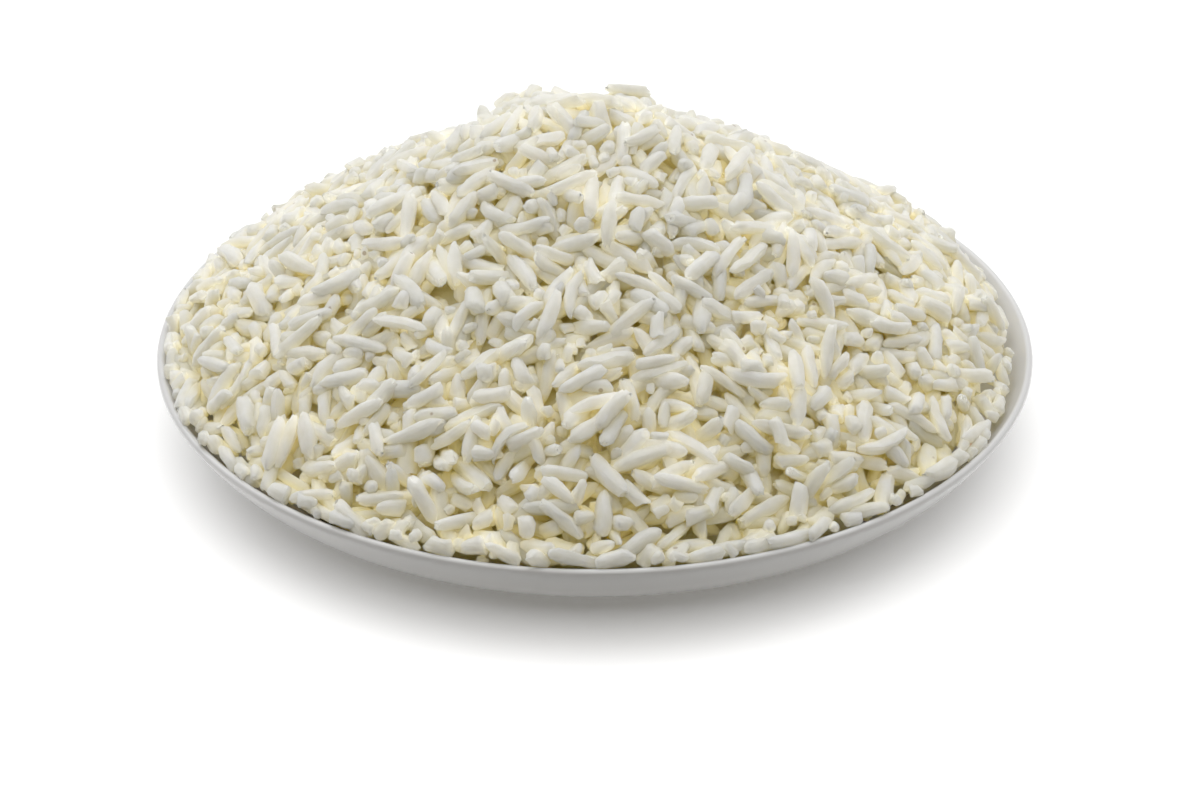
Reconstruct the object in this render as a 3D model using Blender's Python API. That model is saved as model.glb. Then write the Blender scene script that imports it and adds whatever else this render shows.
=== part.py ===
"""White rice heaped on a small round plate.

The plate is one turned piece of glazed porcelain: a shallow coupe with a thin round lip and a foot ring.
The rice is one heap, a rounded cone that fills the plate. Its skin is creased all over into ridges of the
size of a cooked grain, lying every way as the grains do.

The origin is the centre of the foot ring, on the table. +Z is up, and the front is -Y. Lengths are metres.
"""

import math

import bmesh
import bpy
import numpy as np
from mathutils import Vector
from mathutils.geometry import delaunay_2d_cdt

MM = 0.001

# The plate
LIP_RADIUS = 80.0 * MM
LIP_HEIGHT = 18.0 * MM
LIP_THICKNESS = 1.6 * MM
WELL_HEIGHT = 6.2 * MM
UNDERSIDE_HEIGHT = 3.0 * MM
RECESS_HEIGHT = 2.4 * MM
FOOT_OUTER_RADIUS = 50.0 * MM
FOOT_INNER_RADIUS = 46.5 * MM
FOOT_EASE = 0.4 * MM
INNER_LIP_ANGLE = math.radians(52)
OUTER_LIP_ANGLE = math.radians(60)
PLATE_STEPS = 64

# The heap
HEAP_TOP = 61.7 * MM
HEAP_RADIUS = 77.2 * MM
HEAP_FALL = 52.4 * MM
HEAP_ROUNDING = 0.24
SHOULDER = 0.91
EDGE_THICKNESS = 0.8 * MM
PLATE_GAP = 0.3 * MM
PEAK_SHIFT = -1.7 * MM
EDGE_STEPS = 112

# Swellings and dips that keep the heap from being perfectly round: (x, y, height)
LUMP_SIZE = 15.0 * MM
LUMPS = (
    (-48 * MM, 46 * MM, 1.6 * MM),
    (-30 * MM, 44 * MM, -1.2 * MM),
    (-14 * MM, 26 * MM, 1.0 * MM),
    (16 * MM, 24 * MM, 0.8 * MM),
    (46 * MM, 46 * MM, -1.6 * MM),
    (34 * MM, -22 * MM, 1.0 * MM),
    (-26 * MM, -30 * MM, -1.0 * MM),
    (4 * MM, -52 * MM, 0.9 * MM),
    (-50 * MM, -12 * MM, 0.8 * MM),
)

# The grains that crease its skin: (longest length, shortest length, tries), the largest first
GRAIN_SIZES = (
    (10.6 * MM, 8.8 * MM, 5200),
    (8.8 * MM, 6.8 * MM, 5200),
    (6.2 * MM, 3.6 * MM, 6500),
)
GRAIN_SPACING = 2.55 * MM
CREST_RISE = 1.15 * MM
TIP_RISE = 0.1 * MM
HOLLOW_DEPTH = 1.15 * MM
SHOULDER_SHARE = 0.56
GRAIN_LIFT = 0.45 * MM
GRAIN_SLANT = 0.14
HOLLOW_SPACING = 2.5 * MM
HOLLOW_CLEARANCE = 0.95 * MM
HOLLOW_GRID = 0.7 * MM
EDGE_MARGIN = 1.5 * MM
SEED = 11


def clear_scene():
    for obj in list(bpy.data.objects):
        bpy.data.objects.remove(obj)


def material(name, colour, roughness):
    made = bpy.data.materials.new(name)
    made.use_nodes = True
    shader = made.node_tree.nodes["Principled BSDF"]
    shader.inputs["Base Color"].default_value = (*colour, 1)
    shader.inputs["Roughness"].default_value = roughness
    shader.inputs["Metallic"].default_value = 0
    return made


def add_object(name, mesh, finish):
    mesh.materials.append(finish)
    obj = bpy.data.objects.new(name, mesh)
    bpy.context.scene.collection.objects.link(obj)
    return obj


def lip_point(angle):
    """A point of the lip's round edge, at an angle above level, as (radius, height)."""
    half = LIP_THICKNESS / 2
    return LIP_RADIUS - half + half * math.cos(angle), LIP_HEIGHT - half + half * math.sin(angle)


def wall_height(radius, low, lip_angle, end):
    """The height of a wall that is level in the middle and meets the lip at the point end and at lip_angle."""
    end_radius, end_height = end
    power = math.tan(lip_angle) * end_radius / (end_height - low)
    return low + (end_height - low) * (radius / end_radius) ** power


def well_height(radius):
    """The plate's upper surface."""
    return wall_height(radius, WELL_HEIGHT, INNER_LIP_ANGLE, lip_point(INNER_LIP_ANGLE + math.pi / 2))


def underside_height(radius):
    """The plate's lower surface, outside the foot ring."""
    return wall_height(radius, UNDERSIDE_HEIGHT, OUTER_LIP_ANGLE, lip_point(OUTER_LIP_ANGLE - math.pi / 2))


def wall_radii(start, end, steps):
    """Radii from start to just short of end, closer together near the lip, where the wall curves most."""
    shares = 1 - (1 - np.linspace(0, 1, steps, endpoint=False)) ** 1.7
    return start + (end - start) * shares


def well_radii():
    return wall_radii(FOOT_INNER_RADIUS, lip_point(INNER_LIP_ANGLE + math.pi / 2)[0], 9)


def plate_outline():
    """The plate's section from the axis below, out round the foot and the lip, and back to the axis above."""
    foot = [
        (0.0, RECESS_HEIGHT),
        (FOOT_INNER_RADIUS - FOOT_EASE, RECESS_HEIGHT),
        (FOOT_INNER_RADIUS, FOOT_EASE),
        (FOOT_INNER_RADIUS + FOOT_EASE, 0.0),
        (FOOT_OUTER_RADIUS - FOOT_EASE, 0.0),
        (FOOT_OUTER_RADIUS, FOOT_EASE),
    ]
    lip = [lip_point(a) for a in np.linspace(OUTER_LIP_ANGLE - math.pi / 2, INNER_LIP_ANGLE + math.pi / 2, 6)]
    outer = [(r, underside_height(r)) for r in wall_radii(FOOT_OUTER_RADIUS + FOOT_EASE, lip[0][0], 7)]
    inner = [(r, well_height(r)) for r in well_radii()]
    return foot + outer + lip + inner[::-1] + [(0.0, WELL_HEIGHT)]


def turned_mesh(name, outline, steps):
    """A closed mesh from an outline that starts and ends on the Z axis."""
    shape = bmesh.new()
    points = [shape.verts.new((radius, 0, height)) for radius, height in outline]
    edges = [shape.edges.new(pair) for pair in zip(points, points[1:])]
    bmesh.ops.spin(
        shape,
        geom=points + edges,
        cent=(0, 0, 0),
        axis=(0, 0, 1),
        angle=math.tau,
        steps=steps,
        use_merge=True,
    )
    bmesh.ops.remove_doubles(shape, verts=shape.verts, dist=0.01 * MM)
    bmesh.ops.recalc_face_normals(shape, faces=shape.faces)
    mesh = bpy.data.meshes.new(name)
    shape.to_mesh(mesh)
    shape.free()
    return mesh


def build_plate():
    porcelain = material("porcelain", (0.82, 0.82, 0.81), 0.2)
    mesh = turned_mesh("plate", plate_outline(), PLATE_STEPS)
    mesh.shade_smooth()
    mesh.set_sharp_from_angle(angle=math.radians(40))
    return add_object("plate", mesh, porcelain)


def heap_profile(radius):
    """The height of the heap's mean skin: a rounded cone that turns down steeply at its shoulder."""
    share = np.asarray(radius) / HEAP_RADIUS
    cone = HEAP_TOP - HEAP_FALL * (np.sqrt(share**2 + HEAP_ROUNDING**2) - HEAP_ROUNDING)
    roll = np.clip((share - SHOULDER) / (1 - SHOULDER), 0, 1) ** 2
    return cone + (well_height(HEAP_RADIUS) + EDGE_THICKNESS - cone) * roll


def unrolled_distance():
    """Radii of the heap, and the distance along its skin from the top to each of them."""
    radii = np.linspace(0, HEAP_RADIUS, 600)
    steps = np.hypot(np.diff(radii), np.diff(heap_profile(radii)))
    return radii, np.concatenate([[0], np.cumsum(steps)])


def distance_to_segments(points, starts, ends):
    """The distance from each point to the nearest of the segments."""
    along = ends - starts
    length = np.maximum((along**2).sum(axis=1), 1e-12)
    offset = points[:, None] - starts[None]
    share = np.clip((offset * along[None]).sum(axis=2) / length, 0, 1)
    nearest = starts[None] + share[..., None] * along[None]
    return np.sqrt(((points[:, None] - nearest) ** 2).sum(axis=2)).min(axis=1)


def scatter_grains(random, reach):
    """Grains laid at random on the unrolled skin, none closer to another than GRAIN_SPACING.
    Each is (x, y, direction, length)."""
    grains = []
    starts, ends = np.zeros((0, 2)), np.zeros((0, 2))
    samples = np.linspace(-0.5, 0.5, 7)
    for longest, shortest, tries in GRAIN_SIZES:
        for _ in range(tries):
            direction = random.uniform(0, math.pi)
            length = random.uniform(shortest, longest)
            radius = (reach - EDGE_MARGIN) * math.sqrt(random.uniform(0, 1))
            angle = random.uniform(0, math.tau)
            centre = np.array([radius * math.cos(angle), radius * math.sin(angle)])
            axis = np.array([math.cos(direction), math.sin(direction)])
            line = centre + samples[:, None] * length * axis
            if np.hypot(*line.T).max() > reach - EDGE_MARGIN:
                continue
            if len(starts):
                near = np.hypot(*((starts + ends) / 2 - centre).T) < 2 * GRAIN_SIZES[0][0]
                if near.any() and distance_to_segments(line, starts[near], ends[near]).min() < GRAIN_SPACING:
                    continue
            grains.append((*centre, direction, length))
            starts = np.vstack([starts, line[0]])
            ends = np.vstack([ends, line[-1]])
    return grains, starts, ends


def scatter_hollows(starts, ends, reach):
    """Points in the gaps between the grains, those deepest in a gap first."""
    axis = np.arange(-reach, reach, HOLLOW_GRID)
    grid = np.stack(np.meshgrid(axis, axis), axis=-1).reshape(-1, 2)
    grid = grid[np.hypot(*grid.T) < reach - EDGE_MARGIN / 2]
    clearance = np.concatenate([distance_to_segments(part, starts, ends) for part in np.array_split(grid, 60)])
    order = np.argsort(-clearance, kind="stable")
    chosen = np.zeros((0, 2))
    for index in order:
        if clearance[index] < HOLLOW_CLEARANCE:
            break
        point = grid[index]
        if len(chosen) and np.hypot(*(chosen - point).T).min() < HOLLOW_SPACING:
            continue
        chosen = np.vstack([chosen, point])
    return chosen


def crest_points(grain, random):
    """A grain's ridge on the unrolled skin, as rows of (x, y, rise): tip, shoulder, shoulder and tip."""
    x, y, direction, length = grain
    lift = random.uniform(-GRAIN_LIFT, GRAIN_LIFT)
    slant = random.normal(0, GRAIN_SLANT)
    rows = []
    for share, rise in ((-1, TIP_RISE), (-SHOULDER_SHARE, CREST_RISE), (SHOULDER_SHARE, CREST_RISE), (1, TIP_RISE)):
        offset = share * length / 2
        rows.append((x + offset * math.cos(direction), y + offset * math.sin(direction), rise + lift + slant * offset))
    return rows


def skin_points(random, reach):
    """All points of the creased skin as rows of (x, y, rise), and the pairs that ridges join."""
    grains, starts, ends = scatter_grains(random, reach)
    rows, ridges = [], []
    for grain in grains:
        first = len(rows)
        rows += crest_points(grain, random)
        ridges += [(first + step, first + step + 1) for step in range(3)]
    for x, y in scatter_hollows(starts, ends, reach):
        rows.append((x, y, -HOLLOW_DEPTH * random.uniform(0.55, 1.25)))
    edge_start = len(rows)
    for angle in np.linspace(0, math.tau, EDGE_STEPS, endpoint=False):
        rows.append((reach * math.cos(angle), reach * math.sin(angle), 0.0))
    return rows, ridges, edge_start


def rolled_up(rows, radii, distances):
    """The unrolled rows carried onto the heap: each point stands off the mean skin by its rise."""
    rows = np.array(rows)
    travel = np.hypot(rows[:, 0], rows[:, 1])
    angle = np.arctan2(rows[:, 1], rows[:, 0])
    radius = np.interp(travel, distances, radii)
    step = 0.05 * MM
    slope = (heap_profile(radius + step) - heap_profile(radius - step)) / (2 * step)
    lean = np.arctan(slope)
    rise = rows[:, 2]
    out = radius - rise * np.sin(lean)
    height = heap_profile(radius) + rise * np.cos(lean)
    x, y = out * np.cos(angle), out * np.sin(angle)
    fade = np.clip((1 - radius / HEAP_RADIUS) * 4, 0, 1)
    for lump_x, lump_y, lump in LUMPS:
        height = height + fade * lump * np.exp(-((x - lump_x) ** 2 + (y - lump_y) ** 2) / LUMP_SIZE**2)
    x = x + PEAK_SHIFT * np.clip(1 - radius / HEAP_RADIUS, 0, 1)
    return np.stack([x, y, height], axis=1)


def underside_rings():
    """Rings of the heap's underside, from its edge inwards, as (radius, height): the plate's well, moved
    in by the gap."""
    rings = []
    for radius in well_radii():
        lean = math.atan2(well_height(radius) - well_height(radius - PLATE_GAP), PLATE_GAP)
        ring = (radius - PLATE_GAP * math.sin(lean), well_height(radius) + PLATE_GAP * math.cos(lean))
        if ring[0] < HEAP_RADIUS - PLATE_GAP:
            rings.append(ring)
    return rings[::-1]


def add_underside(shape, edge):
    """Closes the heap below its edge, ring by ring, to a point in the middle of the well."""
    ring = edge
    for radius, height in underside_rings():
        below = []
        for vertex in edge:
            angle = math.atan2(vertex.co.y, vertex.co.x)
            below.append(shape.verts.new((radius * math.cos(angle), radius * math.sin(angle), height)))
        for step in range(len(ring)):
            after = (step + 1) % len(ring)
            shape.faces.new((ring[step], ring[after], below[after], below[step]))
        ring = below
    middle = shape.verts.new((0, 0, WELL_HEIGHT + PLATE_GAP))
    for step in range(len(ring)):
        shape.faces.new((ring[step], ring[(step + 1) % len(ring)], middle))


def build_heap():
    random = np.random.default_rng(SEED)
    radii, distances = unrolled_distance()
    reach = distances[-1]
    rows, ridges, edge_start = skin_points(random, reach)
    flat = [Vector((x, y)) for x, y, _ in rows]
    points, _, faces, origins, _, _ = delaunay_2d_cdt(flat, ridges, [], 0, 1e-7)
    kept = [rows[sources[0]] for sources in origins]
    places = rolled_up(kept, radii, distances)
    shape = bmesh.new()
    vertices = [shape.verts.new(place) for place in places]
    for face in faces:
        shape.faces.new([vertices[index] for index in face])
    edge = [vertices[index] for index, sources in enumerate(origins) if sources[0] >= edge_start]
    edge.sort(key=lambda vertex: math.atan2(vertex.co.y, vertex.co.x))
    add_underside(shape, edge)
    bmesh.ops.triangulate(shape, faces=shape.faces)
    bmesh.ops.recalc_face_normals(shape, faces=shape.faces)
    mesh = bpy.data.meshes.new("rice_heap")
    shape.to_mesh(mesh)
    shape.free()
    return add_object("rice_heap", mesh, material("cooked_rice", (0.86, 0.84, 0.75), 0.45))


def main():
    clear_scene()
    build_plate()
    build_heap()


main()
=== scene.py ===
"""Boiled white rice heaped on a small round plate: the finished look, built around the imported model.

The plate is turned smooth in place of its solid. The heap's solid gives way to single grains, which settle
one after another on a plain core until they fill the heap's form. Sizes are millimetres until a mesh is
made.
"""
import math

import bpy
import numpy as np
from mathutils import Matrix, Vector


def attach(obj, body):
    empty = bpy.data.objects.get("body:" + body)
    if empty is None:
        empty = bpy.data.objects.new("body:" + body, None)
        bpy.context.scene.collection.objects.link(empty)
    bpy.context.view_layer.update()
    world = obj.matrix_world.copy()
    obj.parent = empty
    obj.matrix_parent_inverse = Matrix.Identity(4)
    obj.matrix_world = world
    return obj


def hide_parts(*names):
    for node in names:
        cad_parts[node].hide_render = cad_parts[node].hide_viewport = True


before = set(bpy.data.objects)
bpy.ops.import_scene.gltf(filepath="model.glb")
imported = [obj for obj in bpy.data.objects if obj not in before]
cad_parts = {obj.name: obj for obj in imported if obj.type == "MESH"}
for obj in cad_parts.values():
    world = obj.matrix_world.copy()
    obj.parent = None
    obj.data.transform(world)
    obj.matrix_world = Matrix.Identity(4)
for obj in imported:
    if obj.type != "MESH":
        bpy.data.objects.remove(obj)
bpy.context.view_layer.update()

MM = 0.001
SEED = 7

# The plate, as in the solids
LIP_RADIUS = 80.0
LIP_HEIGHT = 18.0
LIP_THICKNESS = 1.6
WELL_HEIGHT = 6.2
UNDERSIDE_HEIGHT = 3.0
RECESS_HEIGHT = 2.4
FOOT_OUTER_RADIUS = 50.0
FOOT_INNER_RADIUS = 46.5
INNER_LIP_ANGLE = math.radians(52)
OUTER_LIP_ANGLE = math.radians(60)
TURNING_STEPS = 144
CORE_STEPS = 64

# The heap, as in the solids
HEAP_TOP = 61.7
HEAP_RADIUS = 77.2
HEAP_FALL = 52.4
HEAP_ROUNDING = 0.24
SHOULDER = 0.91
EDGE_THICKNESS = 0.8
PEAK_SHIFT = -1.7
LUMP_SIZE = 15.0
LUMPS = (
    (-48, 46, 1.6),
    (-30, 44, -1.2),
    (-14, 26, 1.0),
    (16, 24, 0.8),
    (46, 46, -1.6),
    (34, -22, 1.0),
    (-26, -30, -1.0),
    (4, -52, 0.9),
    (-50, -12, 0.8),
)

# The kinds of grains, the lengths and widths that they come in, and how many broken ones are mere crumbs
WHOLE, BROKEN, SPLIT = 0, 1, 2
PIECE_NAMES = ("whole_grains", "broken_grains", "split_grains")
LENGTHS = ((8.3, 11.2), (3.4, 7.4), (7.4, 10.0))
WIDTH = 2.78
WIDTH_SPREAD = 0.27
WIDTH_LIMITS = (2.2, 3.4)
FLATNESS = (0.8, 0.95)
BENDS = (0.22, 0.75)
BEND_SHARES = (0.72, 0.28)
CRUMB_SHARE = 0.14
CRUMB_LENGTHS = (1.8, 3.2)
CRUMB_WIDTHS = (1.5, 2.4)

# The shares of whole, broken and split grains: in the heap, beside the lip, in the gaps and on end
MIXED = (0.60, 0.32, 0.08)
EDGE = (0.35, 0.6, 0.05)
BITS = (0.06, 0.88, 0.06)
ON_END = (0.75, 0.1, 0.15)

# How the grains settle: their rises and depths are from the heap's mean skin
CORE_DEPTH = 4.2
CELL = 0.45
CREST_HEIGHT = 0.0
CREST_SPREAD = 0.4
PROUD_END = 0.9
CHOICE_SPREAD = 0.7
ROLL_SPREAD = 0.45
STEEPEST = (0.4, 0.7, 1.1)
STEEPEST_SHARES = (0.45, 0.35, 0.2)
STANDING_ANGLES = (28, 66)
EDGE_RISE = 2.2
RELIEF = 0.9
RELIEF_CELLS = 6
RELIEF_FADE = 8
WEARINESS = 0.15
WEARY_CELLS = 3

# The strip of bare wall at the plate's right, and how near to the wall grains lie there and elsewhere
STRIP_START = 0.85
STRIP_FADE = 0.11
STRIP_ROOM = 0.75
TOUCH = 0.05

# How the rice's colour goes from white to a painted warm shade, in place of light scattered between the
# grains: with the depth among the grains, and towards the lip
PAINTED_SHADE_DEPTH = 2.9
EDGE_PAINTED_SHADE = 0.24

# The view, and how often light may bounce between the grains
VIEW_GAMMA = 1.6
BOUNCES = 9


def deselect():
    bpy.ops.object.select_all(action="DESELECT")


def finished(piece, name, node):
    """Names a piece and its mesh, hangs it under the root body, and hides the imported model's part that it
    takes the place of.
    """
    piece.name = name
    piece.data.name = name
    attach(piece, "root")
    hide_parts(node)
    return piece


# Outlines, as (radius, height)

def lip_point(angle):
    half = LIP_THICKNESS / 2
    return LIP_RADIUS - half + half * math.cos(angle), LIP_HEIGHT - half + half * math.sin(angle)


def wall_height(radius, low, lip_angle, end):
    end_radius, end_height = end
    power = math.tan(lip_angle) * end_radius / (end_height - low)
    return low + (end_height - low) * (radius / end_radius) ** power


def well_height(radius):
    return wall_height(radius, WELL_HEIGHT, INNER_LIP_ANGLE, lip_point(INNER_LIP_ANGLE + math.pi / 2))


def underside_height(radius):
    return wall_height(radius, UNDERSIDE_HEIGHT, OUTER_LIP_ANGLE, lip_point(OUTER_LIP_ANGLE - math.pi / 2))


def heap_height(radius):
    share = np.asarray(radius) / HEAP_RADIUS
    cone = HEAP_TOP - HEAP_FALL * (np.sqrt(share**2 + HEAP_ROUNDING**2) - HEAP_ROUNDING)
    roll = np.clip((share - SHOULDER) / (1 - SHOULDER), 0, 1) ** 2
    return cone + (well_height(HEAP_RADIUS) + EDGE_THICKNESS - cone) * roll


def plate_outline():
    """The plate's section: from the recess under it, round the foot and the lip, and back into the well."""
    recess = [(r, RECESS_HEIGHT) for r in (12, 28, 40, 45.2)]
    foot_end = FOOT_OUTER_RADIUS + 1.2
    foot = [
        (FOOT_INNER_RADIUS - 0.7, 2.1),
        (FOOT_INNER_RADIUS - 0.3, 1.5),
        (FOOT_INNER_RADIUS, 0.6),
        (FOOT_INNER_RADIUS + 0.25, 0.15),
        (FOOT_INNER_RADIUS + 0.7, 0.0),
        (FOOT_OUTER_RADIUS - 0.7, 0.0),
        (FOOT_OUTER_RADIUS - 0.25, 0.15),
        (FOOT_OUTER_RADIUS, 0.6),
        (FOOT_OUTER_RADIUS + 0.1, 1.6),
        (FOOT_OUTER_RADIUS + 0.4, 2.5),
        (foot_end, underside_height(foot_end)),
    ]
    outer_end = lip_point(OUTER_LIP_ANGLE - math.pi / 2)[0]
    inner_end = lip_point(INNER_LIP_ANGLE + math.pi / 2)[0]
    outer = [(r, underside_height(r)) for r in np.linspace(53, outer_end, 16, endpoint=False)]
    angles = np.linspace(OUTER_LIP_ANGLE - math.pi / 2, INNER_LIP_ANGLE + math.pi / 2, 10)
    lip = [lip_point(angle) for angle in angles]
    inner = [(r, well_height(r)) for r in np.linspace(inner_end, 46, 20)[1:]]
    return recess + foot + outer + lip + inner + [(30, WELL_HEIGHT), (12, WELL_HEIGHT)]


def turned_piece(outline, steps):
    """A closed turned piece: a ring is drawn out and resized along the outline, and both ends are filled."""
    deselect()
    radius, height = outline[0]
    bpy.ops.mesh.primitive_circle_add(
        vertices=steps, radius=radius * MM, fill_type="TRIFAN", location=(0, 0, height * MM)
    )
    piece = bpy.context.object
    bpy.ops.object.transform_apply(location=True, rotation=True, scale=True)
    bpy.ops.object.mode_set(mode="EDIT")
    bpy.ops.mesh.select_all(action="SELECT")
    bpy.ops.mesh.region_to_loop()
    for next_radius, next_height in outline[1:]:
        lift = (0, 0, (next_height - height) * MM)
        bpy.ops.mesh.extrude_edges_move(TRANSFORM_OT_translate={"value": lift})
        grow = next_radius / radius
        bpy.ops.transform.resize(value=(grow, grow, 1), center_override=(0, 0, next_height * MM))
        radius, height = next_radius, next_height
    bpy.ops.mesh.extrude_edges_move(TRANSFORM_OT_translate={"value": (0, 0, 0)})
    bpy.ops.mesh.merge(type="CENTER")
    bpy.ops.mesh.select_all(action="SELECT")
    bpy.ops.mesh.normals_make_consistent(inside=False)
    bpy.ops.object.mode_set(mode="OBJECT")
    bpy.ops.object.shade_smooth()
    return piece


def heap_lift(x, y):
    """How far the heap's swellings and dips raise a place."""
    fade = np.clip((1 - np.hypot(x, y) / HEAP_RADIUS) * 4, 0, 1)
    lift = 0.0
    for lump_x, lump_y, height in LUMPS:
        lift = lift + height * np.exp(-((x - lump_x) ** 2 + (y - lump_y) ** 2) / LUMP_SIZE**2)
    return lift * fade


def heap_lean(x, y):
    """How far the heap leans to the left there."""
    return PEAK_SHIFT * np.clip(1 - np.hypot(x, y) / HEAP_RADIUS, 0, 1)


def blurred(field, reach):
    """A field of cells, each made the mean of those round it."""
    for axis in (0, 1):
        edges = [(reach + 1, reach) if side == axis else (0, 0) for side in (0, 1)]
        total = np.cumsum(np.pad(field, edges, mode="edge"), axis=axis)
        ahead = np.take(total, range(2 * reach + 1, total.shape[axis]), axis=axis)
        behind = np.take(total, range(0, total.shape[axis] - 2 * reach - 1), axis=axis)
        field = (ahead - behind) / (2 * reach + 1)
    return field


def relief(size):
    """How much more or less the grains pile up from place to place, in clumps and hollows."""
    field = np.random.default_rng(SEED + 1).normal(0, 1, (size, size))
    for _ in range(3):
        field = blurred(field, RELIEF_CELLS)
    return RELIEF * field / field.std()


class Heap:
    """The heap's mean skin, unrolled to a flat disc, and how high the grains stand on it so far.

    A place is (u, v) on the disc, at its distance along the skin from the top. Heights are along the skin's
    normal. The tables give, for any radius and height in space, the distance along the skin of the nearest
    point, the height above it, and the distance to the plate's wall.
    """

    STEP = 0.5
    LOW = -6.0
    HIGH = 76.0
    WIDE = 96.0

    def __init__(self):
        radii = np.linspace(0, HEAP_RADIUS, 500)
        heights = heap_height(radii)
        travel = np.concatenate([[0], np.cumsum(np.hypot(np.diff(radii), np.diff(heights)))])
        self.reach = travel[-1]
        self.radii, self.heights, self.travel = radii, heights, travel
        slope = np.gradient(heights, radii)
        self.lean = np.arctan(slope)
        past = np.arange(0.3, 12, 0.3)
        line_r = np.concatenate([radii, radii[-1] + past * np.cos(self.lean[-1])])
        line_z = np.concatenate([heights, heights[-1] + past * np.sin(self.lean[-1])])
        line_t = np.concatenate([travel, travel[-1] + past])
        line_a = np.concatenate([self.lean, np.full(len(past), self.lean[-1])])
        grid_r = np.arange(0, self.WIDE, self.STEP)
        grid_z = np.arange(self.LOW, self.HIGH, self.STEP)
        self.table = np.zeros((len(grid_r), len(grid_z), 3))
        wall = self.wall_line()
        for row, r in enumerate(grid_r):
            away_r = r - line_r[None]
            away_z = grid_z[:, None] - line_z[None]
            near = np.argmin(away_r**2 + away_z**2, axis=1)
            column = np.arange(len(grid_z))
            height = away_z[column, near] * np.cos(line_a[near]) - away_r[0, near] * np.sin(line_a[near])
            gap = np.hypot(r - wall[None, :, 0], grid_z[:, None] - wall[None, :, 1]).min(axis=1)
            inside = (grid_z < well_height(min(r, LIP_RADIUS))) & (grid_z < LIP_HEIGHT)
            self.table[row, :, 0] = line_t[near]
            self.table[row, :, 1] = height
            self.table[row, :, 2] = np.where(inside, -gap, gap)
        self.size = int(math.ceil((self.reach + 6) / CELL))
        self.top = self.bare_ground()
        self.relief = relief(2 * self.size) * self.away_from_edge()
        self.weary = np.zeros_like(self.top)

    @staticmethod
    def wall_line():
        inner = [(r, well_height(r)) for r in np.linspace(40, 78.58, 120)]
        lip = [lip_point(angle) for angle in np.linspace(INNER_LIP_ANGLE + math.pi / 2, -0.6, 30)]
        return np.array(inner + lip)

    def cell_places(self):
        """The place (u, v) of each cell's middle."""
        places = (np.arange(2 * self.size) + 0.5 - self.size) * CELL
        return np.meshgrid(places, places, indexing="ij")

    def bare_ground(self):
        """How high the core or the plate's wall stands at each cell, before any grain lies there."""
        u, v = self.cell_places()
        point = self.frame_at(u, v)[0]
        gap = self.look_up(point[..., 0], point[..., 1], point[..., 2])[3]
        return np.maximum(-CORE_DEPTH, 0.6 + wall_room(u, v) - 1.15 * gap)

    def away_from_edge(self):
        """None at the heap's edge, and one further in, for each cell."""
        distance = np.hypot(*self.cell_places())
        return np.clip((self.reach - distance) / RELIEF_FADE, 0, 1)

    def edge_rise(self, u, v):
        """How much higher grains may lie beside the lip, where they hide it: all round but at the right."""
        near = np.clip((np.hypot(u, v) - self.reach + 5) / 4, 0, 1)
        return EDGE_RISE * near * (1 - rightness(u, v))

    def look_up(self, x, y, z):
        """For points in space: place (u, v), height above the skin and distance to the plate's wall."""
        r = np.hypot(x, y)
        row = np.clip(r / self.STEP, 0, self.table.shape[0] - 1.001)
        column = np.clip((z - self.LOW) / self.STEP, 0, self.table.shape[1] - 1.001)
        row_low, column_low = row.astype(int), column.astype(int)
        a, b = (row - row_low)[..., None], (column - column_low)[..., None]
        found = (
            self.table[row_low, column_low] * (1 - a) * (1 - b)
            + self.table[row_low + 1, column_low] * a * (1 - b)
            + self.table[row_low, column_low + 1] * (1 - a) * b
            + self.table[row_low + 1, column_low + 1] * a * b
        )
        scale = found[..., 0] / np.maximum(r, 1e-6)
        return x * scale, y * scale, found[..., 1], found[..., 2]

    def cells(self, u, v):
        i = np.clip((u / CELL + self.size).astype(int), 0, 2 * self.size - 1)
        j = np.clip((v / CELL + self.size).astype(int), 0, 2 * self.size - 1)
        return i, j

    def frame_at(self, u, v):
        """The point of the skin at (u, v), with its downhill, level and normal directions."""
        distance = np.hypot(u, v)
        angle = np.arctan2(v, u)
        r = np.interp(distance, self.travel, self.radii)
        z = np.interp(distance, self.travel, self.heights)
        lean = np.interp(distance, self.travel, self.lean)
        cos_a, sin_a = np.cos(angle), np.sin(angle)
        point = np.stack([r * cos_a, r * sin_a, z], axis=-1)
        downhill = np.stack([np.cos(lean) * cos_a, np.cos(lean) * sin_a, np.sin(lean)], axis=-1)
        level = np.stack([-sin_a, cos_a, np.zeros_like(cos_a)], axis=-1)
        normal = np.cross(downhill, level)
        return point, downhill, level, normal


ALONG = np.array([-0.47, -0.4, -0.3, -0.18, -0.07, 0.07, 0.18, 0.3, 0.4, 0.47])
ACROSS = np.array([-0.6, -0.3, 0.0, 0.3, 0.6])
BLUNT = 4.2
SINK = 0.42


def swell(share):
    """A grain's thickness along it, as a share of the thickest: nearly even, with round ends."""
    return np.sqrt(1 - np.abs(2 * share) ** BLUNT)


def bowed(share):
    """How far aside a bent grain lies at a place along it, as a share of its bend."""
    return (2 * share) ** 2 - 0.4


def rightness(x, y):
    """One at the plate's right, where a strip of its wall stays bare, and none elsewhere."""
    return np.clip((x / np.maximum(np.hypot(x, y), 1e-6) - STRIP_START) / STRIP_FADE, 0, 1)


def wall_room(x, y):
    """How far from the plate's wall a grain keeps: it touches all round, but for a strip at the right."""
    return TOUCH + STRIP_ROOM * rightness(x, y)


def wall_gap(heap, places):
    return heap.look_up(places[..., 0], places[..., 1], places[..., 2])[3]


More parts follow.
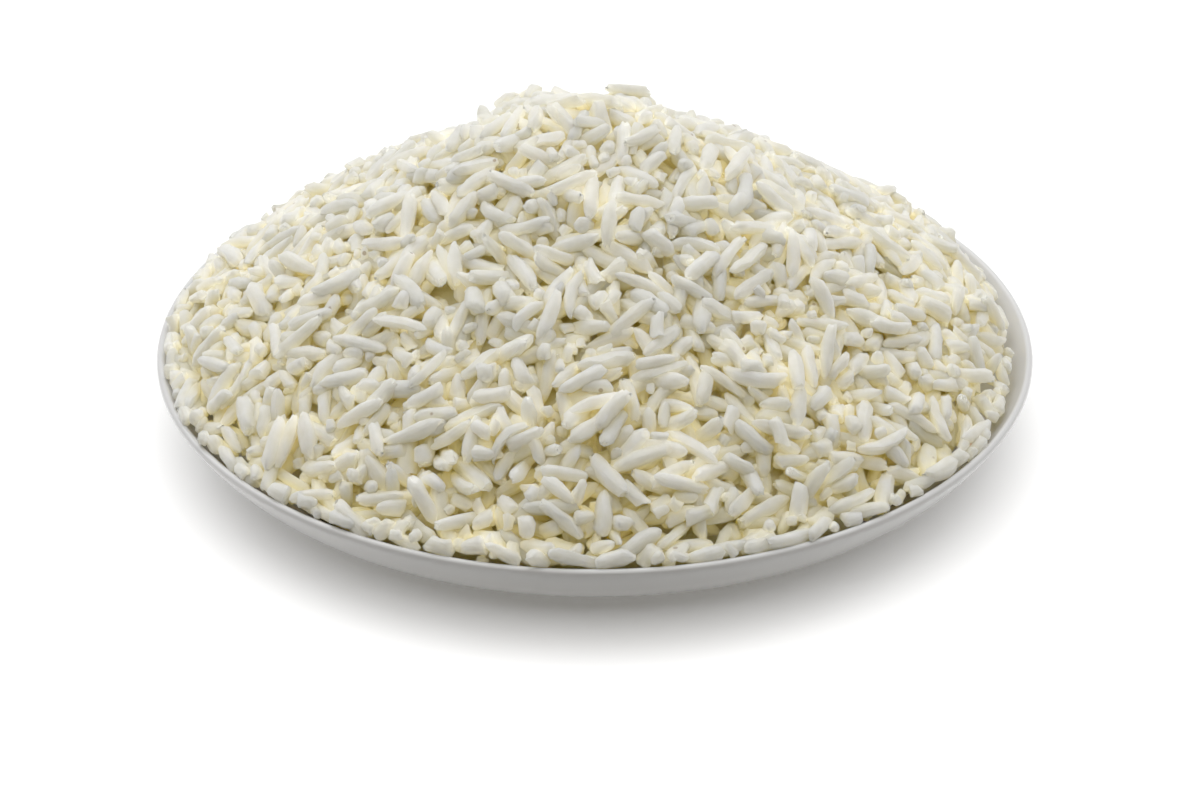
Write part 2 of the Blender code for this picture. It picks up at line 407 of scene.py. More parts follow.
def settle(heap, u, v, turn, length, width, thick, bend):
    """Lets grains down at several places at once, each like a plank that comes to rest on two supports.
    Returns where each one lies, how it tips, and whether it keeps clear of the plate."""
    point, downhill, level, normal = heap.frame_at(u, v)
    axis = np.cos(turn)[:, None] * downhill + np.sin(turn)[:, None] * level
    side = np.cross(normal, axis)
    run = ALONG[None] * length
    sideways = ACROSS[None] * width / 2
    bow = bend * bowed(ALONG)
    offset = (
        run[..., None, None] * axis[:, None, None]
        + (sideways[:, None, :, None] * swell(ALONG)[None, :, None, None] + bow[None, :, None, None])
        * side[:, None, None]
    )
    places = point[:, None, None] + offset
    pu, pv, above, _ = heap.look_up(places[..., 0], places[..., 1], places[..., 2])
    i, j = heap.cells(pu, pv)
    ground = heap.top[i, j] - above
    belly = SINK * thick / 2 * swell(ALONG)[None, :, None] * np.sqrt(1 - ACROSS**2)[None, None]
    support = (ground + belly).max(axis=2)
    run = run[0]
    left, right = run < 0, run > 0
    span = run[right][None, :] - run[left][:, None]
    low = support[:, left][:, :, None]
    high = support[:, right][:, None, :]
    middle = low + (high - low) * (-run[left][:, None] / span)[None]
    best = middle.reshape(len(u), -1).argmax(axis=1)
    rest = middle.reshape(len(u), -1).max(axis=1)
    tip = ((high - low) / span[None]).reshape(len(u), -1)[np.arange(len(u)), best]
    leaning = axis + tip[:, None] * normal
    leaning /= np.linalg.norm(leaning, axis=1)[:, None]
    centre = point + rest[:, None] * normal
    line = run[None, :, None] * leaning[:, None] + bow[None, :, None] * side[:, None]
    room = thick / 2 * swell(ALONG)[None] + wall_room(centre[:, 0], centre[:, 1])[:, None]
    lack = room - wall_gap(heap, centre[:, None] + line)
    lift = 1.5 * np.clip(lack.max(axis=1), 0, 2)
    centre[:, 2] += lift
    rest = rest + lift * normal[:, 2]
    clear = (wall_gap(heap, centre[:, None] + line) >= room - 0.02).all(axis=1)
    return centre, leaning, side, rest, tip, clear


def stamp(heap, centre, axis, side, length, width, thick, bend):
    """Raises the heap's record of heights by one grain."""
    share = np.linspace(-0.49, 0.49, 26)
    across = np.linspace(-0.95, 0.95, 9)
    up = np.cross(axis, side)
    full = swell(share)[:, None, None]
    bow = (bend * bowed(share))[:, None, None]
    sideways = (across * width / 2)[None, :, None]
    crown = SINK * (np.sqrt(1 - across**2) * thick / 2)[None, :, None]
    places = (
        centre
        + (share * length)[:, None, None] * axis
        + (sideways * full + bow) * side
        + crown * full * up
    )
    pu, pv, above, _ = heap.look_up(places[..., 0], places[..., 1], places[..., 2])
    i, j = heap.cells(pu, pv)
    np.maximum.at(heap.top, (i.ravel(), j.ravel()), above.ravel())


def new_grain(random, shares):
    """One grain's kind and sizes: whole, broken or split; length, width, thickness and bend."""
    kind = int(random.choice(3, p=shares))
    length = [random.uniform(*span) for span in LENGTHS][kind]
    width = float(np.clip(random.normal(WIDTH, WIDTH_SPREAD), *WIDTH_LIMITS))
    if kind == BROKEN and random.random() < CRUMB_SHARE:
        length, width = random.uniform(*CRUMB_LENGTHS), random.uniform(*CRUMB_WIDTHS)
    thick = width * random.uniform(*FLATNESS)
    bow = random.choice(BENDS, p=BEND_SHARES)
    bend = random.normal(0, bow) * (length / 10) ** 2
    return kind, length, width, thick, bend


def low_places(heap, random, tries, looks):
    """The lowest few of some places drawn at random over the heap."""
    distance = heap.reach * np.sqrt(random.uniform(0, 1, tries))
    angle = random.uniform(0, math.tau, tries)
    u, v = distance * np.cos(angle), distance * np.sin(angle)
    cells = heap.cells(u, v)
    lowest = np.argsort(heap.top[cells] + heap.weary[cells])[:looks]
    return u[lowest], v[lowest]


def pass_over(heap, u, v):
    """Makes places where a grain didn't fit less likely to be tried again."""
    for i, j in zip(*heap.cells(u, v)):
        rows, columns = (slice(at - WEARY_CELLS, at + WEARY_CELLS + 1) for at in (i, j))
        heap.weary[rows, columns] += WEARINESS


def lay_one(heap, random, grains, grain, u, v, turn, loose, steepest):
    """Lays a grain in the best of some places, and returns where, or None if it would stand too proud."""
    kind, length, width, thick, bend = grain
    centre, axis, side, rest, tip, clear = settle(heap, u, v, turn, length, width, thick, bend)
    limit = CREST_HEIGHT + random.normal(0, CREST_SPREAD) + loose + heap.edge_rise(u, v)
    limit = limit + heap.relief[heap.cells(u, v)]
    fits = clear & (rest + thick / 2 < limit) & (np.abs(tip) < steepest)
    fits &= rest + np.abs(tip) * length / 2 < limit + PROUD_END
    if not fits.any():
        return None
    score = np.where(fits, rest + random.normal(0, CHOICE_SPREAD, len(rest)), np.inf)
    pick = int(score.argmin())
    stamp(heap, centre[pick], axis[pick], side[pick], length, width, thick, bend)
    roll = random.normal(0, ROLL_SPREAD)
    grains.append((kind, length, width, thick, bend, roll, centre[pick], axis[pick], side[pick]))
    return u[pick], v[pick], turn[pick]


def lay_grains(heap, random, grains, shares, count, tries, looks, loose, company=0.5):
    """Lays grains flat, each in the best of a few low places, and up to loose above the skin or below it.
    Some get company: another grain stuck along their side."""
    for _ in range(count):
        grain = new_grain(random, shares)
        u, v = low_places(heap, random, tries, looks)
        turn = random.uniform(0, math.pi, len(u))
        steepest = random.choice(STEEPEST, p=STEEPEST_SHARES)
        laid = lay_one(heap, random, grains, grain, u, v, turn, loose, steepest)
        if laid is None:
            pass_over(heap, u, v)
        while laid is not None and random.random() < company:
            at_u, at_v, turned = laid
            toward = math.atan2(at_v, at_u) + turned + math.pi / 2 * random.choice((-1, 1))
            away = grain[2] * random.uniform(0.7, 0.95)
            shift = random.uniform(-2, 2)
            at_u += away * math.cos(toward) + shift * math.sin(toward)
            at_v += away * math.sin(toward) - shift * math.cos(toward)
            if math.hypot(at_u, at_v) > heap.reach:
                break
            grain = new_grain(random, shares)
            turned = turned + random.normal(0, 0.14, 2)
            beside = np.full(2, at_u), np.full(2, at_v)
            laid = lay_one(heap, random, grains, grain, *beside, turned, loose, 0.8)


def stand_grains(heap, random, grains, count):
    """Stands some grains up in the gaps, so that their ends show."""
    for _ in range(count):
        kind, length, width, thick, bend = new_grain(random, ON_END)
        u, v = low_places(heap, random, 6, 1)
        point, downhill, level, normal = heap.frame_at(u[0], v[0])
        turn = random.uniform(0, math.tau)
        rise = math.radians(random.uniform(*STANDING_ANGLES))
        flat = math.cos(turn) * downhill + math.sin(turn) * level
        axis = math.cos(rise) * flat + math.sin(rise) * normal
        side = np.cross(normal, flat)
        ground = heap.top[heap.cells(u, v)][0]
        height = ground + length / 2 * math.sin(rise) * 0.9 + thick / 2 * math.cos(rise) * 0.6
        over = height + length / 2 * math.sin(rise) - (CREST_HEIGHT + random.normal(1.1, 0.6))
        if over > length * 0.25:
            continue
        centre = point + (height - max(over, 0)) * normal
        line = centre + (ALONG * length)[:, None] * axis
        gap = heap.look_up(line[:, 0], line[:, 1], line[:, 2])[3]
        if (gap < thick / 2 * swell(ALONG) + wall_room(centre[0], centre[1])).any():
            continue
        stamp(heap, centre, axis, side, length, width, thick, bend)
        grains.append((kind, length, width, thick, bend, random.uniform(-1.5, 1.5), centre, axis, side))


def line_edge(heap, random, grains, shares, count):
    """Lays grains along the lip, where the low places are too narrow for others."""
    for _ in range(count):
        grain = new_grain(random, shares)
        angle = random.uniform(0, math.tau, 12)
        distance = heap.reach - random.uniform(-0.5, 4, 12)
        u, v = distance * np.cos(angle), distance * np.sin(angle)
        turn = math.pi / 2 + random.normal(0, 0.8, 12)
        lay_one(heap, random, grains, grain, u, v, turn, 0.5, 0.9)


def fill_heap(random):
    """Lays grains until the heap has its form: some flat, some standing, then bits that fill what is left.
    Each grain is a row: kind, length, width, thickness, bend, roll, centre, axis and side."""
    heap = Heap()
    grains = []
    lay_grains(heap, random, grains, MIXED, 1100, tries=60, looks=6, loose=-1.7)
    heap.weary[:] = 0
    lay_grains(heap, random, grains, MIXED, 1000, tries=60, looks=6, loose=-0.5)
    line_edge(heap, random, grains, EDGE, 350)
    stand_grains(heap, random, grains, 240)
    heap.weary[:] = 0
    lay_grains(heap, random, grains, BITS, 1500, tries=400, looks=6, loose=-0.1, company=0.0)
    heap.weary[:] = 0
    lay_grains(heap, random, grains, MIXED, 2400, tries=40, looks=6, loose=0.5)
    stand_grains(heap, random, grains, 320)
    line_edge(heap, random, grains, EDGE, 450)
    line_edge(heap, random, grains, BITS, 700)
    heap.weary[:] = 0
    lay_grains(heap, random, grains, BITS, 2600, tries=1500, looks=5, loose=0.45, company=0.0)
    lay_grains(heap, random, grains, MIXED, 600, tries=6, looks=4, loose=1.0)
    return heap, grains


# The forms of grains, modelled at a whole grain's size and stretched to each grain's own

FORM_LENGTH = 9.2
FORM_WIDTH = 2.8
UNEVENNESS = 0.3
SHARP_BREAK = math.radians(62)
RINGS = (-0.487, -0.435, -0.32, -0.12, 0.12, 0.32, 0.435, 0.487)


def select_ring(mesh, low, high):
    """Selects the points of a grain between two places along it, as shares of its length."""
    bpy.ops.mesh.select_all(action="DESELECT")
    bpy.ops.object.mode_set(mode="OBJECT")
    for vertex in mesh.vertices:
        vertex.select = low <= vertex.co.x / FORM_LENGTH <= high
    bpy.ops.object.mode_set(mode="EDIT")


def select_row(mesh, angle, reach, low=-0.45, high=0.45):
    """Selects the points of a grain that lie in one direction round it."""
    bpy.ops.mesh.select_all(action="DESELECT")
    bpy.ops.object.mode_set(mode="OBJECT")
    for vertex in mesh.vertices:
        away = math.atan2(vertex.co.z, vertex.co.y) - angle
        away = (away + math.pi) % math.tau - math.pi
        vertex.select = abs(away) < reach and low <= vertex.co.x / FORM_LENGTH <= high
    bpy.ops.object.mode_set(mode="EDIT")


def blank_grain(sides=8):
    """A plain grain with round ends, lying along X, in edit mode."""
    deselect()
    bpy.ops.mesh.primitive_uv_sphere_add(segments=sides, ring_count=len(RINGS) + 1, radius=0.5)
    grain = bpy.context.object
    bpy.ops.object.mode_set(mode="EDIT")
    bpy.ops.mesh.select_all(action="SELECT")
    bpy.ops.transform.rotate(value=math.pi / 2, orient_axis="Y", center_override=(0, 0, 0))
    bpy.ops.transform.resize(value=(FORM_LENGTH, FORM_WIDTH, FORM_WIDTH), center_override=(0, 0, 0))
    places = [-0.5 * math.cos(math.pi * (ring + 1) / (len(RINGS) + 1)) for ring in range(len(RINGS))]
    # All rings move outwards, the outer ones first, so that none lands where another is still to be picked
    outwards_in = list(range(len(RINGS)))
    for ring in outwards_in[:4] + outwards_in[:3:-1]:
        place, moved = places[ring], RINGS[ring]
        select_ring(grain.data, place - 0.002, place + 0.002)
        grow = float(swell(moved)) * 0.5 / math.sqrt(0.25 - place**2)
        bpy.ops.transform.resize(value=(1, grow, grow), center_override=(0, 0, 0))
        bpy.ops.transform.translate(value=((moved - place) * FORM_LENGTH, 0, 0))
    return grain


def unevenly(seed):
    """Moves all points about a little, as no grain is regular."""
    bpy.ops.mesh.select_all(action="SELECT")
    bpy.ops.transform.vertex_random(offset=UNEVENNESS, seed=seed)


def pointed(mesh, tip, blunt):
    """Draws one end in towards a point and leaves the other fuller."""
    for low, high, share in ((0.47, 0.495, 1.0), (0.42, 0.45, 0.75), (0.3, 0.34, 0.4)):
        select_ring(mesh, low, high)
        grow = 1 - (1 - tip) * share
        bpy.ops.transform.resize(value=(1, grow, grow), center_override=(0, 0, 0))
        select_ring(mesh, -high, -low)
        grow = 1 - (1 - blunt) * share
        bpy.ops.transform.resize(value=(1, grow, grow), center_override=(0, 0, 0))


def break_end(place, slant, across, seed, crown):
    """Breaks an end off with a slanting cut. The break is ragged, and swells or is hollow in the middle."""
    direction = Vector((math.copysign(1, place), slant, across)).normalized()
    bpy.ops.mesh.select_all(action="SELECT")
    bpy.ops.mesh.bisect(
        plane_co=(place * FORM_LENGTH, 0, 0), plane_no=direction, use_fill=True, clear_outer=True
    )
    bpy.ops.mesh.remove_doubles(threshold=0.3)
    bpy.ops.transform.vertex_random(offset=0.5, seed=seed)
    bpy.ops.mesh.inset(thickness=0.6, depth=0)
    bpy.ops.transform.translate(value=crown * direction)


def germ_notch(mesh, depth):
    """The slanting bite at one end, where the germ was."""
    select_row(mesh, 0.5, 0.6, -0.6, -0.36)
    bpy.ops.transform.translate(value=(depth, -depth * 0.5, -depth * 0.25))


def groove(mesh, angle, depth):
    """A furrow along one side, or a ridge where the depth is negative."""
    select_row(mesh, angle, 0.3)
    grow = 1 - depth
    bpy.ops.transform.resize(value=(1, grow, grow), center_override=(0, 0, 0))


def closed_grain(grain):
    bpy.ops.mesh.select_all(action="SELECT")
    bpy.ops.mesh.normals_make_consistent(inside=False)
    bpy.ops.object.mode_set(mode="OBJECT")
    return grain


def whole_grain(seed, tip, blunt, notch, furrow, breaks=()):
    """A whole grain with a furrow, a ridge and perhaps a germ notch. Some have one end or both cut blunt."""
    grain = blank_grain()
    pointed(grain.data, tip, blunt)
    germ_notch(grain.data, notch)
    angle, depth = furrow
    groove(grain.data, angle, depth)
    groove(grain.data, angle + 2.3, -0.12)
    unevenly(seed)
    for place, slant, across, crown in breaks:
        break_end(place, slant, across, seed, crown)
    return closed_grain(grain)


def broken_grain(seed, breaks):
    """A bit of a grain, broken off at one end or at both."""
    grain = blank_grain()
    pointed(grain.data, 0.85, 0.95)
    unevenly(seed)
    for place, slant, across, crown in breaks:
        break_end(place, slant, across, seed, crown)
    return closed_grain(grain)


def split_grain(seed, angle, depth):
    """A grain that burst in boiling: a deep split along it and a hollow, ragged end."""
    grain = blank_grain(10)
    pointed(grain.data, 1.0, 0.95)
    groove(grain.data, angle, depth)
    unevenly(seed)
    break_end(0.45, 0.2, -0.1, seed, -0.4)
    return closed_grain(grain)


def enclosed_volume(points, faces):
    """The volume inside a closed form, which is negative where its faces point inwards."""
    corners = np.array(
        [(face[0], face[step], face[step + 1]) for face in faces for step in range(1, len(face) - 1)]
    )
    first, second, third = points[corners[:, 0]], points[corners[:, 1]], points[corners[:, 2]]
    return (first * np.cross(second, third)).sum() / 6


def grain_forms():
    """The forms that grains are copied from, by kind: points as shares of the grain's sizes, and faces."""
    # A furrow is its angle round the grain and its depth. A break is its place along the grain, how much it
    # slants to either side, and how far its middle swells.
    made = {
        WHOLE: [
            whole_grain(1, 0.80, 0.95, 0.5, (1.57, 0.11)),
            whole_grain(2, 0.70, 0.90, 0.2, (0.8, 0.13)),
            whole_grain(3, 0.65, 0.85, 0.4, (-2.4, 0.12)),
            whole_grain(4, 0.85, 1.00, 0.6, (2.4, 0.17), ((0.46, 0.2, 0.1, 0.4),)),
            whole_grain(5, 0.95, 0.90, 0.0, (-1.57, 0.11), ((-0.45, -0.3, 0.2, 0.35),)),
            whole_grain(6, 1.00, 0.95, 0.0, (0.8, 0.20), ((0.44, -0.15, 0.3, -0.3), (-0.47, 0.3, 0.1, 0.3))),
            whole_grain(7, 0.90, 1.05, 0.7, (0.0, 0.10), ((0.47, 0.5, -0.3, 0.35),)),
            whole_grain(8, 1.05, 0.90, 0.3, (3.14, 0.15), ((0.45, 0.1, 0.15, -0.2),)),
        ],
        BROKEN: [
            broken_grain(11, ((0.02, 0.25, 0.1, 0.4),)),
            broken_grain(12, ((0.10, -0.45, 0.2, 0.35),)),
            broken_grain(13, ((-0.04, 0.1, -0.3, 0.5),)),
            broken_grain(14, ((0.22, 0.5, 0.2, 0.35), (-0.2, 0.3, -0.2, 0.4))),
            broken_grain(15, ((0.16, -0.2, -0.4, -0.2), (-0.25, -0.5, 0.1, 0.4))),
        ],
        SPLIT: [
            split_grain(21, 1.57, 0.36),
            split_grain(22, 0.9, 0.3),
            split_grain(23, 2.2, 0.42),
        ],
    }
    forms = {}
    for kind, models in made.items():
        forms[kind] = []
        for model in models:
            mesh = model.data
            points = np.zeros(len(mesh.vertices) * 3)
            mesh.vertices.foreach_get("co", points)
            points = points.reshape(-1, 3)
            low, high = points[:, 0].min(), points[:, 0].max()
            points[:, 0] = (points[:, 0] - (low + high) / 2) / (high - low)
            points[:, 1:] /= FORM_WIDTH
            faces = [tuple(face.vertices) for face in mesh.polygons]
            if enclosed_volume(points, faces) < 0:
                faces = [face[::-1] for face in faces]
            forms[kind].append((points, faces))
            bpy.data.objects.remove(model)
            bpy.data.meshes.remove(mesh)
    return forms


def copied_grain(points, grain, random):
    """One grain's points, stretched, bowed, twisted and laid where it settled, and their places in the
    grain's own directions, all in millimetres."""
    _, length, width, thick, bend, roll, centre, axis, side = grain
    share = points[:, 0]
    turned = random.choice((-1, 1))
    x, y, z = share * length * turned, points[:, 1] * width * turned, points[:, 2] * thick
    own = np.stack([x, y, z], axis=1) + random.uniform(0, 300, 3)
    waist = 1 + 0.1 * np.sin(share * random.uniform(4, 11) + random.uniform(0, 6))
    y, z = y * waist, z * (2 - waist)
    twist = roll + share * random.normal(0, 0.5)
    y, z = y * np.cos(twist) - z * np.sin(twist), y * np.sin(twist) + z * np.cos(twist)
    y = y + bend * bowed(share)
    z = z + random.normal(0, 0.12) * bowed(share)
    up = np.cross(axis, side)
    return centre + x[:, None] * axis + y[:, None] * side + z[:, None] * up, own


def joined(name, parts):
    """One mesh from many grains, each given by its points and its faces."""
    points = np.concatenate([part[0] for part in parts])
    starts = np.cumsum([0] + [len(part[0]) for part in parts[:-1]])
    corners = np.concatenate([np.concatenate(part[1]) + start for part, start in zip(parts, starts)])
    sizes = np.concatenate([[len(face) for face in part[1]] for part in parts])
    mesh = bpy.data.meshes.new(name)
    mesh.vertices.add(len(points))
    mesh.vertices.foreach_set("co", (points * MM).ravel())
    mesh.loops.add(len(corners))
    mesh.loops.foreach_set("vertex_index", corners)
    mesh.polygons.add(len(sizes))
    mesh.polygons.foreach_set("loop_start", np.concatenate([[0], np.cumsum(sizes)[:-1]]))
    mesh.polygons.foreach_set("loop_total", sizes)
    mesh.update(calc_edges=True)
    mesh.validate()
    mesh.shade_smooth()
    mesh.set_sharp_from_angle(angle=SHARP_BREAK)
    piece = bpy.data.objects.new(name, mesh)
    bpy.context.scene.collection.objects.link(piece)
    return piece


def store(piece, name, kind, field, values):
    layer = piece.data.attributes.new(name, kind, "POINT")
    layer.data.foreach_set(field, np.asarray(values, dtype=np.float32).ravel())


def paint_grains(piece, points, heap, tint, own):
    """Stores how deep each point lies among the grains round it, raised towards the lip, which sets the
    painted warm shade; each grain's tint; and places along it.
    """
    u, v, above, _ = heap.look_up(points[:, 0], points[:, 1], points[:, 2])
    i, j = heap.cells(u, v)
    wide = blurred(heap.top, 7)
    close = blurred(heap.top, 3)
    below = 0.5 * (wide[i, j] + close[i, j]) + 0.6 - above
    outward = np.hypot(points[:, 0], points[:, 1]) / HEAP_RADIUS
    # Painted warm shade: the depth grows among the grains and towards the lip, and the colour warms with it
    depth = np.clip(below / PAINTED_SHADE_DEPTH + EDGE_PAINTED_SHADE * outward**2, 0, 1)
    store(piece, "depth", "FLOAT", "value", depth)
    store(piece, "tint", "FLOAT", "value", tint)
    store(piece, "own", "FLOAT_VECTOR", "vector", own)


def raised(points):
    """Points moved by the heap's swellings and its lean."""
    points = points.copy()
    x, y = points[:, 0].copy(), points[:, 1].copy()
    points[:, 2] += heap_lift(x, y)
    points[:, 0] += heap_lean(x, y)
    return points


# Finishes

def new_material(name):
    made = bpy.data.materials.new(name)
    made.use_nodes = True
    nodes = made.node_tree.nodes
    return made, nodes, made.node_tree.links, nodes["Principled BSDF"]


def multiplied(nodes, links, colour, by):
    mix = nodes.new("ShaderNodeMix")
    mix.data_type = "RGBA"
    mix.blend_type = "MULTIPLY"
    mix.inputs["Factor"].default_value = 1
    links.new(colour, mix.inputs["A"])
    links.new(by, mix.inputs["B"])
    return mix.outputs["Result"]


def cooked_rice():
    """Moist boiled rice: white where it lies open, with a painted warm shade in the gaps and towards the lip
    that stands in for light scattered between the grains. Each grain has its own tint, chalky clouds and
    faint ridges along it, and a few carry a brown fleck of husk."""
    made, nodes, links, shader = new_material("cooked_rice")
    shader.inputs["Roughness"].default_value = 0.38
    shader.inputs["Specular IOR Level"].default_value = 0.4
    shader.inputs["Sheen Weight"].default_value = 0.3
    shader.inputs["Sheen Roughness"].default_value = 0.4
    shader.subsurface_method = "BURLEY"
    shader.inputs["Subsurface Weight"].default_value = 0.85
    shader.inputs["Subsurface Radius"].default_value = (1.0, 0.92, 0.72)
    shader.inputs["Subsurface Scale"].default_value = 0.005
    depth = nodes.new("ShaderNodeAttribute")
    depth.attribute_name = "depth"
    tint = nodes.new("ShaderNodeAttribute")
    tint.attribute_name = "tint"
    own = nodes.new("ShaderNodeAttribute")
    own.attribute_name = "own"
    place = nodes.new("ShaderNodeTexCoord")

    # Painted warm shade: white where the grains lie open and deep yellow where they lie deep, standing in
    # for light scattered between them
    ramp = nodes.new("ShaderNodeValToRGB")
    ramp.color_ramp.elements[0].position = 0.05
    ramp.color_ramp.elements[0].color = (0.965, 0.967, 0.92, 1)
    ramp.color_ramp.elements[1].position = 0.95
    ramp.color_ramp.elements[1].color = (1.0, 0.895, 0.44, 1)
    ramp.color_ramp.elements.new(0.45).color = (0.985, 0.935, 0.70, 1)
    links.new(depth.outputs["Fac"], ramp.inputs["Fac"])

    clouds = nodes.new("ShaderNodeTexNoise")
    clouds.inputs["Scale"].default_value = 0.6
    clouds.inputs["Detail"].default_value = 3
    links.new(own.outputs["Vector"], clouds.inputs["Vector"])
    chalk = nodes.new("ShaderNodeValToRGB")
    chalk.color_ramp.elements[0].position = 0.3
    chalk.color_ramp.elements[0].color = (0.92, 0.915, 0.87, 1)
    chalk.color_ramp.elements[1].position = 0.7
    chalk.color_ramp.elements[1].color = (1.0, 1.0, 1.0, 1)
    links.new(clouds.outputs["Fac"], chalk.inputs["Fac"])
    tones = nodes.new("ShaderNodeValToRGB")
    tones.color_ramp.elements[0].color = (0.935, 0.928, 0.885, 1)
    tones.color_ramp.elements[1].color = (1.0, 1.0, 1.0, 1)
    links.new(tint.outputs["Fac"], tones.inputs["Fac"])
    shade = multiplied(nodes, links, ramp.outputs["Color"], tones.outputs["Color"])
    shade = multiplied(nodes, links, shade, chalk.outputs["Color"])

    dots = nodes.new("ShaderNodeTexVoronoi")
    dots.inputs["Scale"].default_value = 150
    links.new(place.outputs["Object"], dots.inputs["Vector"])
    near = nodes.new("ShaderNodeMapRange")
    near.inputs["From Min"].default_value = 0.05
    near.inputs["From Max"].default_value = 0.075
    near.inputs["To Min"].default_value = 0.75
    near.inputs["To Max"].default_value = 0
    links.new(dots.outputs["Distance"], near.inputs["Value"])
    rare = nodes.new("ShaderNodeMath")
    rare.operation = "GREATER_THAN"
    rare.inputs[1].default_value = 0.65
    links.new(dots.outputs["Color"], rare.inputs[0])
    speck = nodes.new("ShaderNodeMath")
    speck.operation = "MULTIPLY"
    links.new(near.outputs["Result"], speck.inputs[0])
    links.new(rare.outputs["Value"], speck.inputs[1])
    flecked = nodes.new("ShaderNodeMix")
    flecked.data_type = "RGBA"
    flecked.inputs["B"].default_value = (0.30, 0.19, 0.07, 1)
    links.new(speck.outputs["Value"], flecked.inputs["Factor"])
    links.new(shade, flecked.inputs["A"])
    links.new(flecked.outputs["Result"], shader.inputs["Base Color"])

    stretch = nodes.new("ShaderNodeMapping")
    stretch.inputs["Scale"].default_value = (0.22, 1.3, 1.3)
    links.new(own.outputs["Vector"], stretch.inputs["Vector"])
    streaks = nodes.new("ShaderNodeTexNoise")
    streaks.inputs["Scale"].default_value = 1
    streaks.inputs["Detail"].default_value = 4
    links.new(stretch.outputs["Vector"], streaks.inputs["Vector"])
    bump = nodes.new("ShaderNodeBump")
    bump.inputs["Strength"].default_value = 0.5
    bump.inputs["Distance"].default_value = 0.0004
    links.new(streaks.outputs["Fac"], bump.inputs["Height"])
    links.new(bump.outputs["Normal"], shader.inputs["Normal"])
    return made


def white_glaze():
    """White glazed porcelain with a faint waviness, bare under the foot ring."""
    made, nodes, links, shader = new_material("white_glaze")
    shader.inputs["Coat Weight"].default_value = 0.5
    shader.inputs["Coat Roughness"].default_value = 0.05
    place = nodes.new("ShaderNodeTexCoord")
    apart = nodes.new("ShaderNodeSeparateXYZ")
    links.new(place.outputs["Object"], apart.inputs["Vector"])
    bare = nodes.new("ShaderNodeMapRange")
    bare.inputs["From Min"].default_value = 0.0002
    bare.inputs["From Max"].default_value = 0.0006
    bare.inputs["To Min"].default_value = 1
    bare.inputs["To Max"].default_value = 0
    links.new(apart.outputs["Z"], bare.inputs["Value"])
    clouds = nodes.new("ShaderNodeTexNoise")
    clouds.inputs["Scale"].default_value = 45
    clouds.inputs["Detail"].default_value = 2
    links.new(place.outputs["Object"], clouds.inputs["Vector"])
    whites = nodes.new("ShaderNodeValToRGB")
    whites.color_ramp.elements[0].color = (0.72, 0.72, 0.725, 1)
    whites.color_ramp.elements[1].color = (0.76, 0.76, 0.765, 1)
    links.new(clouds.outputs["Fac"], whites.inputs["Fac"])
    body = nodes.new("ShaderNodeMix")
    body.data_type = "RGBA"
    body.inputs["B"].default_value = (0.72, 0.69, 0.63, 1)
    links.new(bare.outputs["Result"], body.inputs["Factor"])
    links.new(whites.outputs["Color"], body.inputs["A"])
    links.new(body.outputs["Result"], shader.inputs["Base Color"])
    rough = nodes.new("ShaderNodeMapRange")
    rough.inputs["To Min"].default_value = 0.14
    rough.inputs["To Max"].default_value = 0.75
    links.new(bare.outputs["Result"], rough.inputs["Value"])
    links.new(rough.outputs["Result"], shader.inputs["Roughness"])
    bump = nodes.new("ShaderNodeBump")
    bump.inputs["Strength"].default_value = 0.08
    bump.inputs["Distance"].default_value = 0.0006
    links.new(clouds.outputs["Fac"], bump.inputs["Height"])
    links.new(bump.outputs["Normal"], shader.inputs["Normal"])
    return made


# The pieces

def make_plate():
    plate = turned_piece(plate_outline(), TURNING_STEPS)
    plate.data.materials.append(white_glaze())
    return finished(plate, "glazed_plate", "plate")


def core_outline():
    """The core's section: over the well with a small gap, then back along the heap's skin, deep below it."""
    under = [(r, well_height(r) + 0.4) for r in (10, 30, 45, 55, 62, 67, 70)]
    radii = np.linspace(0, HEAP_RADIUS, 300)
    heights = heap_height(radii)
    lean = np.arctan(np.gradient(heights, radii))
    inner_r = radii + CORE_DEPTH * np.sin(lean)
    inner_z = heights - CORE_DEPTH * np.cos(lean)
    over_radii = (69, 66, 62, 56, 50, 42, 34, 26, 18, 12, 7, 3)
    over = [(r, float(np.interp(r, inner_r, inner_z))) for r in over_radii]
    return under + over


def make_core(finish):
    """The plain core under the grains. Its upper side has the heap's swellings and lean."""
    core = turned_piece(core_outline(), CORE_STEPS)
    points = np.zeros(len(core.data.vertices) * 3)
    core.data.vertices.foreach_get("co", points)
    points = points.reshape(-1, 3) / MM
    above = points[:, 2] > well_height(72)
    points[above] = raised(points)[above]
    core.data.vertices.foreach_set("co", (points * MM).ravel())
    core.data.update()
    # The core gets the fullest painted warm shade
    store(core, "depth", "FLOAT", "value", np.full(len(points), 1.0))
    store(core, "tint", "FLOAT", "value", np.full(len(points), 0.5))
    store(core, "own", "FLOAT_VECTOR", "vector", points)
    core.data.materials.append(finish)
    return finished(core, "packed_rice", "rice_heap")


def make_grains(finish):
    random = np.random.default_rng(SEED)
    heap, grains = fill_heap(random)
    forms = grain_forms()
    batches = {}
    for grain in grains:
        kind = grain[0]
        form = int(random.integers(len(forms[kind])))
        points, faces = forms[kind][form]
        laid, own = copied_grain(points, grain, random)
        batches.setdefault(PIECE_NAMES[kind], []).append((laid, faces, own, random.uniform(0, 1)))
    for name, parts in batches.items():
        flat = np.concatenate([part[0] for part in parts])
        own = np.concatenate([part[2] for part in parts])
        tint = np.concatenate([np.full(len(part[0]), part[3]) for part in parts])
        lifted = []
        for laid, faces, _, _ in parts:
            middle = laid.mean(axis=0)[None]
            lifted.append((laid + (raised(middle) - middle), faces))
        piece = joined(name, lifted)
        paint_grains(piece, flat, heap, tint, own)
        piece.data.materials.append(finish)
        finished(piece, name, "rice_heap")


# The setting

